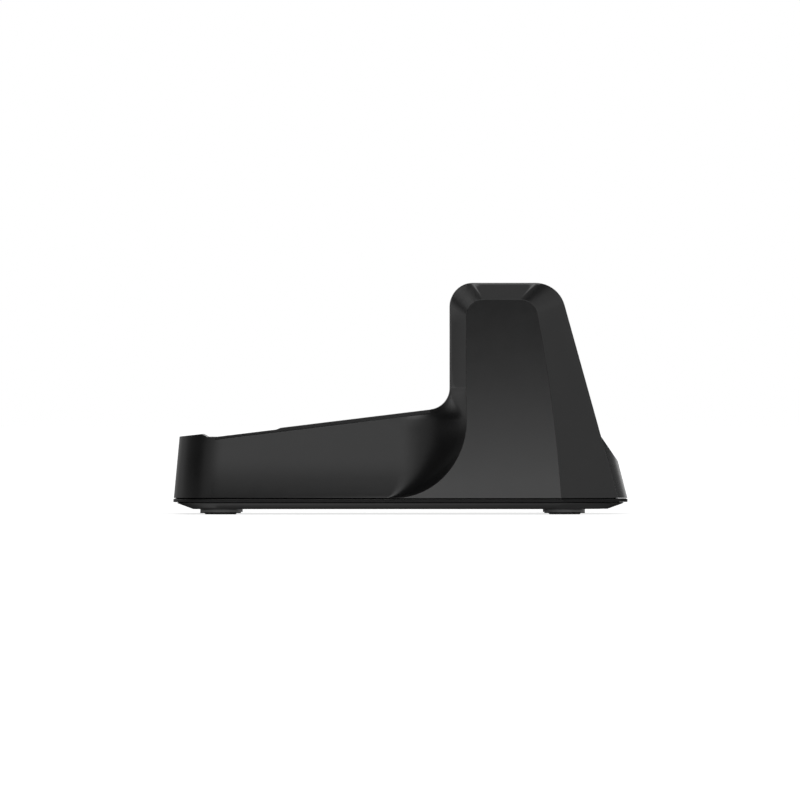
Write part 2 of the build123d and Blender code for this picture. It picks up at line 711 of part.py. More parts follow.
# ---------------------------------------------------------------- key panel and keys
panel_front = PANEL_FRONT_Y + PANEL_END_GAP
panel_rear = PANEL_REAR_Y - PANEL_END_GAP
with BuildPart() as key_panel:
    with BuildSketch(Plane.YZ):
        with BuildLine():
            Polyline(
                (panel_front, deck_z(panel_front)),
                (panel_front, deck_z(panel_front) + PANEL_FRONT_THICKNESS),
                (PANEL_STEP_Y, deck_z(PANEL_STEP_Y) + PANEL_FRONT_THICKNESS),
                (PANEL_STEP_Y + 1.2, deck_z(PANEL_STEP_Y + 1.2) + PANEL_THICKNESS),
                (panel_rear, deck_z(panel_rear) + PANEL_THICKNESS),
                (panel_rear, deck_z(panel_rear)),
                close=True,
            )
        make_face()
    extrude(amount=PANEL_HALF_WIDTH, both=True)
    # raised lip that drops into the window
    with BuildSketch(deck_plane()):
        with Locations((0, KEY_WINDOW_Y)):
            Rectangle(2 * KEY_WINDOW_HALF - 0.2, KEY_WINDOW_DEPTH - 0.2)
            Rectangle(2 * KEY_WINDOW_HALF - 2.2, KEY_WINDOW_DEPTH - 2.2, mode=Mode.SUBTRACT)
    extrude(amount=-DECK_THICKNESS)
    with BuildSketch(deck_plane(lift=-0.5)):
        for _, x, y, width, depth, corner in KEYS:
            with Locations((x, y)):
                RectangleRounded(width + 2 * KEY_GAP, depth + 2 * KEY_GAP, corner + KEY_GAP)
        with Locations(*LIGHT_CENTRES.values()):
            Circle(LIGHT_R)
        for slot in range(SLOT_COUNT):
            with Locations((0, SLOT_FIRST_Y - slot * SLOT_PITCH)):
                SlotOverall(SLOT_LENGTH, SLOT_WIDTH)
    extrude(amount=2.5, mode=Mode.SUBTRACT)
save(key_panel.part, "key_panel")

for name, x, y, width, depth, corner in KEYS:
    with BuildPart() as key:
        cap_foot = KEY_FLANGE_DEPTH - KEY_FLANGE_THICKNESS
        with BuildSketch(deck_plane(lift=-KEY_FLANGE_DEPTH)):
            with Locations((x, y)):
                RectangleRounded(width + 2 * KEY_FLANGE, depth + 2 * KEY_FLANGE - 0.6, corner + 0.4)
        extrude(amount=KEY_FLANGE_THICKNESS)
        with BuildSketch(deck_plane(lift=-cap_foot)):
            with Locations((x, y)):
                RectangleRounded(width, depth, corner)
        extrude(amount=PANEL_THICKNESS + cap_foot - 0.05)
        fillet(key.edges().group_by(DECK_NORMAL)[-1], KEY_EDGE_R)
        with BuildSketch(deck_plane(lift=-KEY_STEM_DEPTH)):
            with Locations((x, y)):
                Circle(KEY_STEM_R)
        extrude(amount=KEY_STEM_DEPTH - KEY_FLANGE_DEPTH + 0.1)
    save(key.part, name)

# ---------------------------------------------------------------- under the keys
with BuildPart() as key_board:
    with BuildSketch(deck_plane(lift=-KEY_BOARD_DROP)):
        with Locations((0, KEY_BOARD_Y)):
            RectangleRounded(*KEY_BOARD_SIZE, 1.0)
    extrude(amount=-KEY_BOARD_THICKNESS)
save(key_board.part, "key_board")

with BuildPart() as keypad_mat:
    with BuildSketch(deck_plane(lift=-KEY_BOARD_DROP)):
        with Locations((0, KEY_BOARD_Y)):
            RectangleRounded(*MAT_SIZE, 2.0)
        with Locations(*LIGHT_CENTRES.values()):
            Circle(LIGHT_FLANGE_R + 0.5, mode=Mode.SUBTRACT)
    extrude(amount=MAT_THICKNESS)
    for _, x, y, _, _, _ in KEYS:
        with BuildSketch(deck_plane(lift=MAT_THICKNESS - KEY_BOARD_DROP)):
            with Locations((x, y)):
                Circle(KEY_DOME_R)
        extrude(amount=KEY_DOME_HEIGHT, taper=30)
save(keypad_mat.part, "keypad_mat")

with BuildPart() as status_leds:
    with BuildSketch(deck_plane(lift=-KEY_BOARD_DROP)):
        with Locations(*LIGHT_CENTRES.values()):
            RectangleRounded(*LED_SIZE, 0.2)
    extrude(amount=LED_HEIGHT)
save(status_leds.part, "status_leds")

for name, (x, y) in LIGHT_CENTRES.items():
    with BuildPart() as light:
        with BuildSketch(deck_plane(lift=LED_HEIGHT - KEY_BOARD_DROP)):
            with Locations((x, y)):
                Circle(LIGHT_FLANGE_R)
        extrude(amount=LIGHT_FLANGE)
        with BuildSketch(deck_plane(lift=LED_HEIGHT + LIGHT_FLANGE - KEY_BOARD_DROP)):
            with Locations((x, y)):
                Circle(LIGHT_R)
        extrude(amount=KEY_BOARD_DROP - LED_HEIGHT - LIGHT_FLANGE + PANEL_THICKNESS - 0.05)
    save(light.part, name)

with BuildPart() as ribbon_cable:
    board_drop = (KEY_BOARD_DROP + KEY_BOARD_THICKNESS) / math.cos(math.radians(DECK_ANGLE))
    ribbon_top = deck_z(RIBBON_Y) - board_drop - 0.03
    with Locations((0, RIBBON_Y, (BOARD_TOP + ribbon_top) / 2)):
        Box(RIBBON_WIDTH, RIBBON_THICKNESS, ribbon_top - BOARD_TOP)
save(ribbon_cable.part, "ribbon_cable")

# ---------------------------------------------------------------- speaker under the slots
with BuildPart() as speaker_basket:
    with BuildSketch(deck_plane(lift=-DECK_THICKNESS)):
        with Locations((0, SPEAKER_Y)):
            Circle(SPEAKER_R)
            Circle(SPEAKER_R - BASKET_RIM, mode=Mode.SUBTRACT)
    extrude(amount=-BASKET_DEPTH)
    with BuildSketch(deck_plane(lift=-DECK_THICKNESS - BASKET_DEPTH)):
        with Locations((0, SPEAKER_Y)):
            Circle(SPEAKER_R)
            Circle(5.0, mode=Mode.SUBTRACT)
            with PolarLocations(9.0, 6):
                Circle(1.9, mode=Mode.SUBTRACT)
    extrude(amount=-BASKET_FLOOR)
save(speaker_basket.part, "speaker_basket")

with BuildPart() as speaker_cone:
    with BuildSketch(deck_plane(lift=-DECK_THICKNESS - 2.3 - CONE_THICKNESS)):
        with Locations((0, SPEAKER_Y)):
            Circle(4.0)
    with BuildSketch(deck_plane(lift=-DECK_THICKNESS - 0.5 - CONE_THICKNESS)):
        with Locations((0, SPEAKER_Y)):
            Circle(SPEAKER_R - 1.25)
    loft()
    with BuildSketch(deck_plane(lift=-DECK_THICKNESS - 2.3)):
        with Locations((0, SPEAKER_Y)):
            Circle(3.9)
    with BuildSketch(deck_plane(lift=-DECK_THICKNESS - 0.5)):
        with Locations((0, SPEAKER_Y)):
            Circle(SPEAKER_R - 1.35)
    loft(mode=Mode.SUBTRACT)
save(speaker_cone.part, "speaker_cone")

with BuildPart() as speaker_magnet:
    with BuildSketch(deck_plane(lift=-DECK_THICKNESS - BASKET_DEPTH - BASKET_FLOOR)):
        with Locations((0, SPEAKER_Y)):
            Circle(MAGNET_R)
    extrude(amount=-MAGNET_THICKNESS)
    fillet(speaker_magnet.edges().group_by(DECK_NORMAL)[0], 0.6)
save(speaker_magnet.part, "speaker_magnet")

# ---------------------------------------------------------------- handset cradle
with BuildPart() as cradle_cup:
    extrude(Plane.XY.offset(WELL_FLOOR_TOP - CUP_FLOOR) * well_outline(CUP_WALL), amount=HEIGHT)
    lowered_tower = Pos(0, 0, -0.25) * tower_outline(0, *outer_args)
    extrude(lowered_tower, amount=CORE_HALF_WIDTH, both=True, mode=Mode.INTERSECT)
    extrude(Plane.XY.offset(WELL_FLOOR_TOP) * well_outline(0), amount=HEIGHT, mode=Mode.SUBTRACT)
    extrude(Plane.XZ.offset(-WELL_FRONT_Y) * notch_outline(-0.8), amount=12, mode=Mode.SUBTRACT)
    with BuildSketch(Plane.XY.offset(WELL_FLOOR_TOP - CUP_FLOOR)):
        with Locations(*CONTACT_CENTRES.values()):
            Circle(CONTACT_R + CONTACT_PLAY)
    extrude(amount=CUP_FLOOR, mode=Mode.SUBTRACT)
    # low rails that locate the handset's foot
    with BuildSketch(Plane.XY.offset(WELL_FLOOR_TOP)):
        for side in (-1, 1):
            with Locations((side * 18.0, (WELL_FRONT_Y + WELL_REAR_Y) / 2)):
                RectangleRounded(2.0, 14.0, 0.9)
    extrude(amount=0.8)
save(cradle_cup.part, "cradle_cup")

with BuildPart() as contact_carrier:
    with BuildSketch(Plane.XY.offset(CONTACT_BOARD_TOP)):
        with Locations((0, CONTACT_Y)):
            RectangleRounded(*CARRIER_SIZE, 1.0)
    extrude(amount=WELL_FLOOR_TOP - CUP_FLOOR - CONTACT_BOARD_TOP)
    with BuildSketch(Plane.XY.offset(CONTACT_BOARD_TOP)):
        with Locations(*CONTACT_CENTRES.values()):
            Circle(CONTACT_HEAD_R + 0.4)
    extrude(amount=CONTACT_STEP_Z - CONTACT_BOARD_TOP, mode=Mode.SUBTRACT)
    with BuildSketch(Plane.XY.offset(CONTACT_BOARD_TOP)):
        with Locations(*CONTACT_CENTRES.values()):
            Circle(CONTACT_R + CONTACT_PLAY)
    extrude(amount=10.0, mode=Mode.SUBTRACT)
save(contact_carrier.part, "contact_carrier")

with BuildPart() as contact_board:
    with BuildSketch(Plane.XY.offset(CONTACT_BOARD_TOP)):
        with Locations((0, CONTACT_Y)):
            RectangleRounded(*CONTACT_BOARD_SIZE, 1.0)
    extrude(amount=-1.0)
save(contact_board.part, "contact_board")

for side, (x, y) in CONTACT_CENTRES.items():
    with BuildPart() as contact:
        with BuildSketch(Plane.XY.offset(CONTACT_STEP_Z - 1.1)):
            with Locations((x, y)):
                Circle(CONTACT_HEAD_R)
        extrude(amount=0.9)
        with BuildSketch(Plane.XY.offset(CONTACT_STEP_Z - 0.2)):
            with Locations((x, y)):
                Circle(CONTACT_R)
        extrude(amount=WELL_FLOOR_TOP + CONTACT_STICKS_OUT - CONTACT_STEP_Z + 0.2)
        fillet(contact.edges().group_by(Axis.Z)[-1], 0.8)
    save(contact.part, f"charge_contact_{side}")

    with BuildPart() as spring:
        with BuildLine():
            Helix(pitch=0.62, height=3.1, radius=SPRING_R, center=(x, y, CONTACT_BOARD_TOP + 0.2))
        with BuildSketch(Plane(origin=(x + SPRING_R, y, CONTACT_BOARD_TOP + 0.2), z_dir=(0, 1, 0))):
            Circle(SPRING_WIRE_R)
        sweep()
    save(spring.part, f"contact_spring_{side}")

# ---------------------------------------------------------------- sockets at the back
with BuildPart() as rear_port_housing:
    # deep block for rounding its rear corners, then cut back to the tower's rear face
    with BuildSketch(Plane.YZ):
        with BuildLine():
            Polyline(
                (SOCKET_FRONT_Y, PORT_TOP_Z),
                (rear_y(PORT_TOP_Z), PORT_TOP_Z),
                (PORT_EDGE_Y, PORT_EDGE_Z),
                (REAR_Y, BODY_BOTTOM),
                (SOCKET_FRONT_Y, BODY_BOTTOM),
                close=True,
            )
        make_face()
    extrude(amount=PORT_HALF_WIDTH - 0.5, both=True)
    rear_edges = rear_port_housing.edges().filter_by(lambda edge: edge.center().Y > 61)
    fillet(rear_edges.filter_by(lambda edge: 9 < edge.length < 20), PORT_CORNER_R)
    with BuildSketch(Plane.YZ):
        Polygon(
            (rear_y(PORT_TOP_Z), PORT_TOP_Z),
            (REAR_Y + 5.0, PORT_TOP_Z),
            (REAR_Y + 5.0, BODY_BOTTOM),
            (rear_y(BODY_BOTTOM), BODY_BOTTOM),
            align=None,
        )
    extrude(amount=PORT_HALF_WIDTH, both=True, mode=Mode.INTERSECT)
    with BuildSketch(Plane.YZ):
        with BuildLine():
            Polyline(
                (50.0, SOCKET_WINDOW_TOP),
                (57.4, 16.2),
                (58.4, 14.6),
                (REAR_Y - 1.9, BODY_BOTTOM),
                (50.0, BODY_BOTTOM),
                close=True,
            )
        make_face()
    extrude(amount=SOCKET_WINDOW_HALF, both=True, mode=Mode.SUBTRACT)
    with BuildSketch(Plane.XZ.offset(-50)):
        with Locations((LINE_JACK_X, SOCKET_AXIS_Z)):
            RectangleRounded(10.6, 7.4, 0.6)
        with Locations((POWER_JACK_X, SOCKET_AXIS_Z)):
            Circle(3.9)
    extrude(amount=-20, mode=Mode.SUBTRACT)
save(rear_port_housing.part, "rear_port_housing")

socket_middle = (SOCKET_FRONT_Y + SOCKET_REAR_Y) / 2
with BuildPart() as line_jack:
    with Locations((LINE_JACK_X, socket_middle, BOARD_TOP + SOCKET_HEIGHT / 2)):
        Box(LINE_JACK_WIDTH, SOCKET_REAR_Y - SOCKET_FRONT_Y, SOCKET_HEIGHT)
    with BuildSketch(Plane.XZ.offset(-SOCKET_REAR_Y)):
        with Locations((LINE_JACK_X, SOCKET_AXIS_Z)):
            Rectangle(*LINE_JACK_OPENING)
        with Locations((LINE_JACK_X, SOCKET_AXIS_Z - 3.3)):
            Rectangle(4.0, 1.6)
    extrude(amount=LINE_JACK_DEPTH, mode=Mode.SUBTRACT)
save(line_jack.part, "line_jack")

with BuildPart() as line_jack_contacts:
    for lane in (-1.5, -0.5, 0.5, 1.5):
        with Locations((LINE_JACK_X + lane * 1.27, SOCKET_REAR_Y - 7.0, SOCKET_AXIS_Z + 3.0)):
            Box(0.45, 8.0, 0.6)
save(line_jack_contacts.part, "line_jack_contacts")

with BuildPart() as dc_jack:
    with Locations((POWER_JACK_X, socket_middle, BOARD_TOP + SOCKET_HEIGHT / 2)):
        Box(POWER_JACK_WIDTH, SOCKET_REAR_Y - SOCKET_FRONT_Y, SOCKET_HEIGHT)
    with BuildSketch(Plane.XZ.offset(-SOCKET_REAR_Y)):
        with Locations((POWER_JACK_X, SOCKET_AXIS_Z)):
            Circle(POWER_JACK_BORE_R)
    extrude(amount=POWER_JACK_DEPTH, mode=Mode.SUBTRACT)
save(dc_jack.part, "dc_jack")

with BuildPart() as dc_jack_pin:
    with BuildSketch(Plane.XZ.offset(POWER_JACK_DEPTH - SOCKET_REAR_Y)):
        with Locations((POWER_JACK_X, SOCKET_AXIS_Z)):
            Circle(POWER_JACK_PIN_R)
    extrude(amount=1.0 - POWER_JACK_DEPTH)
    fillet(dc_jack_pin.edges().group_by(Axis.Y)[-1], 0.5)
save(dc_jack_pin.part, "dc_jack_pin")

# ---------------------------------------------------------------- main board and what is on it
with BuildPart() as main_board:
    with BuildSketch(Plane.XY.offset(BOARD_BOTTOM)):
        with Locations((0, (BOARD_REAR_Y + BOARD_FRONT_Y) / 2)):
            Rectangle(BOARD_WIDTH, BOARD_REAR_Y - BOARD_FRONT_Y)
        with Locations(*BOARD_SCREW_CENTRES):
            Circle(1.1, mode=Mode.SUBTRACT)
    extrude(amount=BOARD_THICKNESS)
    fillet(main_board.edges().filter_by(Axis.Z).group_by(Axis.Y)[0], 2.0)
save(main_board.part, "main_board")

with BuildPart() as board_screws:
    for x, y in BOARD_SCREW_CENTRES:
        with BuildSketch(Plane.XY.offset(BOARD_TOP)):
            with Locations((x, y)):
                Circle(BOARD_SCREW_HEAD_R)
        extrude(amount=BOARD_SCREW_HEAD)
        with BuildSketch(Plane.XY.offset(BOARD_BOTTOM - 2.0)):
            with Locations((x, y)):
                Circle(BOARD_SCREW_R)
        extrude(amount=BOARD_THICKNESS + 2.0)
    fillet(board_screws.edges().group_by(Axis.Z)[-1], 0.6)
save(board_screws.part, "board_screws")

with BuildPart() as rf_shield:
    with BuildSketch(Plane.XY.offset(BOARD_TOP)):
        with Locations(SHIELD_CENTRE):
            RectangleRounded(*SHIELD_SIZE, 0.6)
    extrude(amount=SHIELD_HEIGHT)
    fillet(rf_shield.edges().group_by(Axis.Z)[-1], 0.4)
save(rf_shield.part, "rf_shield")

with BuildPart() as processor_chip:
    with BuildSketch(Plane.XY.offset(BOARD_TOP)):
        with Locations(CHIP_CENTRE):
            Rectangle(CHIP_SIDE, CHIP_SIDE)
    extrude(amount=CHIP_HEIGHT)
    chamfer(processor_chip.edges().group_by(Axis.Z)[-1], 0.2)
save(processor_chip.part, "processor_chip")

with BuildPart() as power_capacitors:
    for x, y in CAPACITOR_CENTRES:
        with BuildSketch(Plane.XY.offset(BOARD_TOP)):
            with Locations((x, y)):
                Circle(CAPACITOR_R)
        extrude(amount=CAPACITOR_HEIGHT)
    fillet(power_capacitors.edges().group_by(Axis.Z)[-1], 0.4)
save(power_capacitors.part, "power_capacitors")

with BuildPart() as line_transformer:
    with BuildSketch(Plane.XY.offset(BOARD_TOP)):
        with Locations(TRANSFORMER_CENTRE):
            Rectangle(*TRANSFORMER_CORE)
    extrude(amount=TRANSFORMER_HEIGHT)
    with BuildSketch(Plane.XY.offset(BOARD_TOP + 2.0)):
        with Locations(TRANSFORMER_CENTRE):
            Rectangle(*TRANSFORMER_WINDING)
    extrude(amount=WINDING_HEIGHT)
save(line_transformer.part, "line_transformer")

with BuildPart() as ballast_plate:
    with BuildSketch(Plane.XY.offset(FLOOR_TOP)):
        with Locations((0, BALLAST_Y)):
            RectangleRounded(*BALLAST_SIZE, 2.0)
    extrude(amount=BALLAST_THICKNESS)
save(ballast_plate.part, "ballast_plate")

for side, name in ((-1, "antenna_left"), (1, "antenna_right")):
    with BuildPart() as antenna:
        with Locations((side * (WELL_HALF_WIDTH + CUP_WALL + ANTENNA_SIZE[0] / 2), CONTACT_Y, ANTENNA_Z)):
            Box(*ANTENNA_SIZE)
    save(antenna.part, name)
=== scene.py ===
"""Looks of the cordless phone's desk base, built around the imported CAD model. Metres throughout."""
import json
import math

import bmesh
import bpy
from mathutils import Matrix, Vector


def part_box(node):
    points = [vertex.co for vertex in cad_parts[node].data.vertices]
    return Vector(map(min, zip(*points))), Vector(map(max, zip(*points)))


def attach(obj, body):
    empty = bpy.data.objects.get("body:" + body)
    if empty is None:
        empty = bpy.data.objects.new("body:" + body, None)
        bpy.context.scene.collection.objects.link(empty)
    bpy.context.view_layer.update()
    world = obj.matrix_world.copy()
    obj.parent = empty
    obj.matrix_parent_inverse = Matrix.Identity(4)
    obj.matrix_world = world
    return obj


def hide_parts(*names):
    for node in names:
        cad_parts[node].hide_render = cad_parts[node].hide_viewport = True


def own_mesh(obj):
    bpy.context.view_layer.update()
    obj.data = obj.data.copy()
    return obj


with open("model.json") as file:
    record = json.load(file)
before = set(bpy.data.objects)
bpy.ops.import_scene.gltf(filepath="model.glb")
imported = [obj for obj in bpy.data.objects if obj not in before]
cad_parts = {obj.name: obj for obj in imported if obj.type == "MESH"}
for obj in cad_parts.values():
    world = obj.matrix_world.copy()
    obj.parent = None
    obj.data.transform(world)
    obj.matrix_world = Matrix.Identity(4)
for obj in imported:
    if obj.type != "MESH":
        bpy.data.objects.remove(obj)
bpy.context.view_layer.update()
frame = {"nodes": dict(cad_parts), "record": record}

MM = 0.001

# camera: level, square to the object's right side, far away through a long lens
LENS_MM = 1050.0
SENSOR_MM = 36.0
FRAME_WIDTH = 222.0 * MM
SIDE_PLANE_X = 30.0 * MM
AIM_Y = -0.17 * MM
AIM_Z = 31.7 * MM

# light table under the object
FLOOR_SIZE = 40.0
FLOOR_WHITE = 0.5
FLOOR_GLOW = 0.75
PAPER_MOTTLE = 0.01
PAPER_GRAIN = 40 * MM

# studio light by direction: each fade runs between two values of one axis of the direction
ROOM_LIGHT = 0.03
BELOW_LIGHT = 0.42
BELOW_FADE_Z = (-0.53, -0.66)
NEAR_LIGHT = 0.75
NEAR_FADE_Z = (0.02, -0.08)
NEAR_FADE_X = (0.35, 0.75)
HORIZON_FADE_Z = (-0.06, 0.04)
BACK_LIGHT = 0.37
BACK_FADE_X = (-0.15, -0.9)
FRONT_LIGHT = 0.58
FRONT_FADE_Z = (0.26, 0.10)
FRONT_FADE_Y = (-0.70, -0.97)
# soft panels: azimuth, elevation, full-strength radius, outer radius (degrees), strength
SOFT_PANELS = [
    (90, 45, 16, 34, 2.5),
    (270, 30, 8, 32, 0.65),
    (-47, 38, 8, 25, 1.0),
    (192, 36, 10, 34, 0.55),
    (222, 8, 10, 34, 1.0),
    (160, 12, 10, 36, 0.28),
    (52, 22, 6, 22, 0.45),
]

# bands by height: the painted highlight on the foot rings, painted shade at their foot, and painted
# shade in the two parting lines beside the trim plate
trim_low, trim_high = (corner[2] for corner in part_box("trim_plate"))
cover_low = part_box("bottom_cover")[0][2]
RING_TOP_Z = cover_low + 0.95 * MM
RING_SHADE_TOP_Z = cover_low + 0.22 * MM
LOWER_LINE_SHADE_Z = (trim_low - 0.24 * MM, trim_low + 0.1 * MM)
UPPER_LINE_SHADE_Z = (trim_high - 0.1 * MM, trim_high + 0.28 * MM)
BAND_BLUR = 0.04 * MM

# soft edges
SMOOTH_ANGLE = math.radians(32)
WELD_DISTANCE = 0.001 * MM
EDGE_R = 0.2 * MM
METAL_EDGE_R = 0.1 * MM
# cosine between the rounded and the flat normal: from here an edge begins to show, and shows fully
EDGE_BEGINS = 0.995
EDGE_FULL = 0.86

# unevenness of moulded plastic
BLOTCH_SIZE = 14 * MM
SMUDGE_SIZE = 3.5 * MM
GLOSS_SWING = 0.012
EDGE_POLISH = -0.10

# metal and circuit board
METAL_STRETCH = (1.0, 12.0, 1.0)
BRUSH_SIZE = 0.5 * MM
TARNISH_SIZE = 2.5 * MM
METAL_RELIEF = 0.003 * MM
TRACKS_PER_METRE = 420.0
TRACK_SPACING = 0.12
TRACK_RELIEF = 0.02 * MM
RIBBON_PITCH = 6.3 * MM


# ---------------------------------------------------------------- node helpers
def add_node(tree, kind, sockets=None, **settings):
    """New node with its settings and sockets; a socket takes a value or another node's output."""
    made = tree.nodes.new(kind)
    for name, value in settings.items():
        setattr(made, name, value)
    for name, value in (sockets or {}).items():
        if isinstance(value, bpy.types.NodeSocket):
            tree.links.new(value, made.inputs[name])
        else:
            made.inputs[name].default_value = value
    return made


def math_node(tree, operation, a, b):
    """Result of one sum on two values."""
    return add_node(tree, "ShaderNodeMath", {0: a, 1: b}, operation=operation).outputs[0]


def remap(tree, value, low, high, to_low, to_high):
    """Smooth step from to_low to to_high, as the value goes from low to high."""
    ends = {"From Min": low, "From Max": high, "To Min": to_low, "To Max": to_high}
    sockets = {"Value": value, **ends}
    return add_node(tree, "ShaderNodeMapRange", sockets, interpolation_type="SMOOTHSTEP").outputs[0]


def mix_colour(tree, factor, a, b):
    """Colour between a and b."""
    return add_node(tree, "ShaderNodeMix", {0: factor, 6: a, 7: b}, data_type="RGBA").outputs[2]


def mix_value(tree, factor, a, b):
    """Number between a and b."""
    return add_node(tree, "ShaderNodeMix", {0: factor, 2: a, 3: b}).outputs[0]


def blend_input(tree, shader, name, factor, target, mix):
    """Lead a shader's input over to the target where the factor is 1."""
    socket = shader.inputs[name]
    plain = socket.links[0].from_socket if socket.links else socket.default_value
    tree.links.new(mix(tree, factor, plain, target), socket)


def noise(tree, place, size, detail=3.0, rough=0.55):
    """Noise whose features are about size across."""
    sockets = {"Vector": place, "Scale": 1 / size, "Detail": detail, "Roughness": rough}
    return add_node(tree, "ShaderNodeTexNoise", sockets).outputs[0]


def grey(value, tint=0.0):
    """Opaque grey; a tint above 0 is bluer, and one below 0 is warmer."""
    return (value, value, value * (1 + tint), 1.0)


# ---------------------------------------------------------------- materials
def start_material(name):
    """New material with its node tree, its principled shader and object coordinates."""
    material = bpy.data.materials.new(name)
    material.use_nodes = True
    tree = material.node_tree
    tree.nodes.clear()
    shader = add_node(tree, "ShaderNodeBsdfPrincipled")
    add_node(tree, "ShaderNodeOutputMaterial", {"Surface": shader.outputs[0]})
    place = add_node(tree, "ShaderNodeTexCoord").outputs["Object"]
    return material, tree, shader, place


def edge_mask(tree, rounded):
    """1 on sharp edges, 0 on flat ground."""
    flat = add_node(tree, "ShaderNodeNewGeometry").outputs["Normal"]
    dot = add_node(tree, "ShaderNodeVectorMath", {0: rounded, 1: flat}, operation="DOT_PRODUCT")
    return remap(tree, dot.outputs["Value"], EDGE_BEGINS, EDGE_FULL, 0.0, 1.0)


def shade(colour, scale, lift=0.0):
    """The colour, brighter or darker."""
    return tuple(c * scale + lift for c in colour[:3]) + (1.0,)


def height_band(tree, place, low, high):
    """1 between two heights, 0 outside them."""
    height = add_node(tree, "ShaderNodeSeparateXYZ", {0: place}).outputs["Z"]
    above = remap(tree, height, low - BAND_BLUR, low + BAND_BLUR, 0.0, 1.0)
    below = remap(tree, height, high + BAND_BLUR, high - BAND_BLUR, 0.0, 1.0)
    return math_node(tree, "MULTIPLY", above, below)


def moulded(
    name,
    colour,
    roughness,
    grain=0.22 * MM,
    relief=0.006 * MM,
    wear=0.6,
    specular=0.5,
    edge_r=EDGE_R,
):
    """Moulded plastic or rubber: eroded grain, uneven gloss, worn edges."""
    material, tree, shader, place = start_material(name)
    rounded = add_node(tree, "ShaderNodeBevel", {"Radius": edge_r}, samples=4).outputs[0]
    fine = noise(tree, place, grain, 4.0, 0.6)
    broad = noise(tree, place, BLOTCH_SIZE, 4.0)
    smudge = noise(tree, place, SMUDGE_SIZE, 5.0, 0.65)
    patchy = remap(tree, smudge, 0.35, 0.65, 0.4, 1.0)
    edges = math_node(tree, "MULTIPLY", edge_mask(tree, rounded), patchy)
    worn = math_node(tree, "MULTIPLY", edges, wear)
    blotch = remap(tree, broad, 0.3, 0.7, 0.0, 1.0)
    ground = mix_colour(tree, blotch, shade(colour, 0.82), shade(colour, 1.18))
    # paler colour of the worn edges
    wear_and_highlight = shade(colour, 2.4, 0.006)
    tree.links.new(mix_colour(tree, worn, ground, wear_and_highlight), shader.inputs["Base Color"])
    uneven = remap(tree, smudge, 0.25, 0.75, roughness - GLOSS_SWING, roughness + GLOSS_SWING)
    polish = math_node(tree, "MULTIPLY", worn, EDGE_POLISH)
    tree.links.new(math_node(tree, "ADD", uneven, polish), shader.inputs["Roughness"])
    bump = add_node(tree, "ShaderNodeBump", {"Height": fine, "Distance": relief, "Normal": rounded})
    tree.links.new(bump.outputs[0], shader.inputs["Normal"])
    shader.inputs["Specular IOR Level"].default_value = specular
    return material, tree, shader, place


def metal(name, colour, roughness, tarnish=0.25):
    """Plated sheet or turned metal: fine lines, dull patches, brighter edges."""
    material, tree, shader, place = start_material(name)
    sockets = {"Vector": place, "Scale": METAL_STRETCH}
    lines = add_node(tree, "ShaderNodeMapping", sockets).outputs[0]
    brushed = noise(tree, lines, BRUSH_SIZE, 5.0)
    patches = remap(tree, noise(tree, place, TARNISH_SIZE, 4.0), 0.35, 0.7, 0.0, 1.0)
    tone = mix_colour(tree, patches, colour, shade(colour, 1 - tarnish))
    tree.links.new(tone, shader.inputs["Base Color"])
    gloss = remap(tree, brushed, 0.2, 0.8, roughness - 0.06, roughness + 0.1)
    tree.links.new(gloss, shader.inputs["Roughness"])
    rounded = add_node(tree, "ShaderNodeBevel", {"Radius": METAL_EDGE_R}, samples=4).outputs[0]
    relief = {"Height": brushed, "Distance": METAL_RELIEF, "Normal": rounded}
    bump = add_node(tree, "ShaderNodeBump", relief)
    tree.links.new(bump.outputs[0], shader.inputs["Normal"])
    shader.inputs["Metallic"].default_value = 1.0
    return material


def circuit_board(name):
    """Green solder mask over copper tracks."""
    material, tree, shader, place = start_material(name)
    sockets = {"Vector": place, "Scale": TRACKS_PER_METRE}
    cells = add_node(tree, "ShaderNodeTexVoronoi", sockets, distance="MANHATTAN")
    tracks = math_node(tree, "PINGPONG", cells.outputs["Distance"], TRACK_SPACING)
    track = remap(tree, tracks, 0.05, 0.07, 0.0, 1.0)
    mottle = noise(tree, place, 4 * MM)
    mask = mix_colour(tree, mottle, (0.012, 0.085, 0.035, 1), (0.02, 0.12, 0.05, 1))
    coated = mix_colour(tree, track, mask, (0.04, 0.21, 0.08, 1))
    tree.links.new(coated, shader.inputs["Base Color"])
    tree.links.new(remap(tree, mottle, 0.3, 0.7, 0.25, 0.38), shader.inputs["Roughness"])
    bump = add_node(tree, "ShaderNodeBump", {"Height": track, "Distance": TRACK_RELIEF})
    tree.links.new(bump.outputs[0], shader.inputs["Normal"])
    return material


def paint_shade_band(tree, shader, place, low, high):
    """Painted shade between two heights: unlit black without sheen, at the bottom of a parting line
    or of a foot.
    """
    # painted shade: black colour, high roughness and no specular inside the band
    band = height_band(tree, place, low, high)
    blend_input(tree, shader, "Base Color", band, grey(0.001), mix_colour)
    blend_input(tree, shader, "Roughness", band, 0.9, mix_value)
    blend_input(tree, shader, "Specular IOR Level", band, 0.0, mix_value)


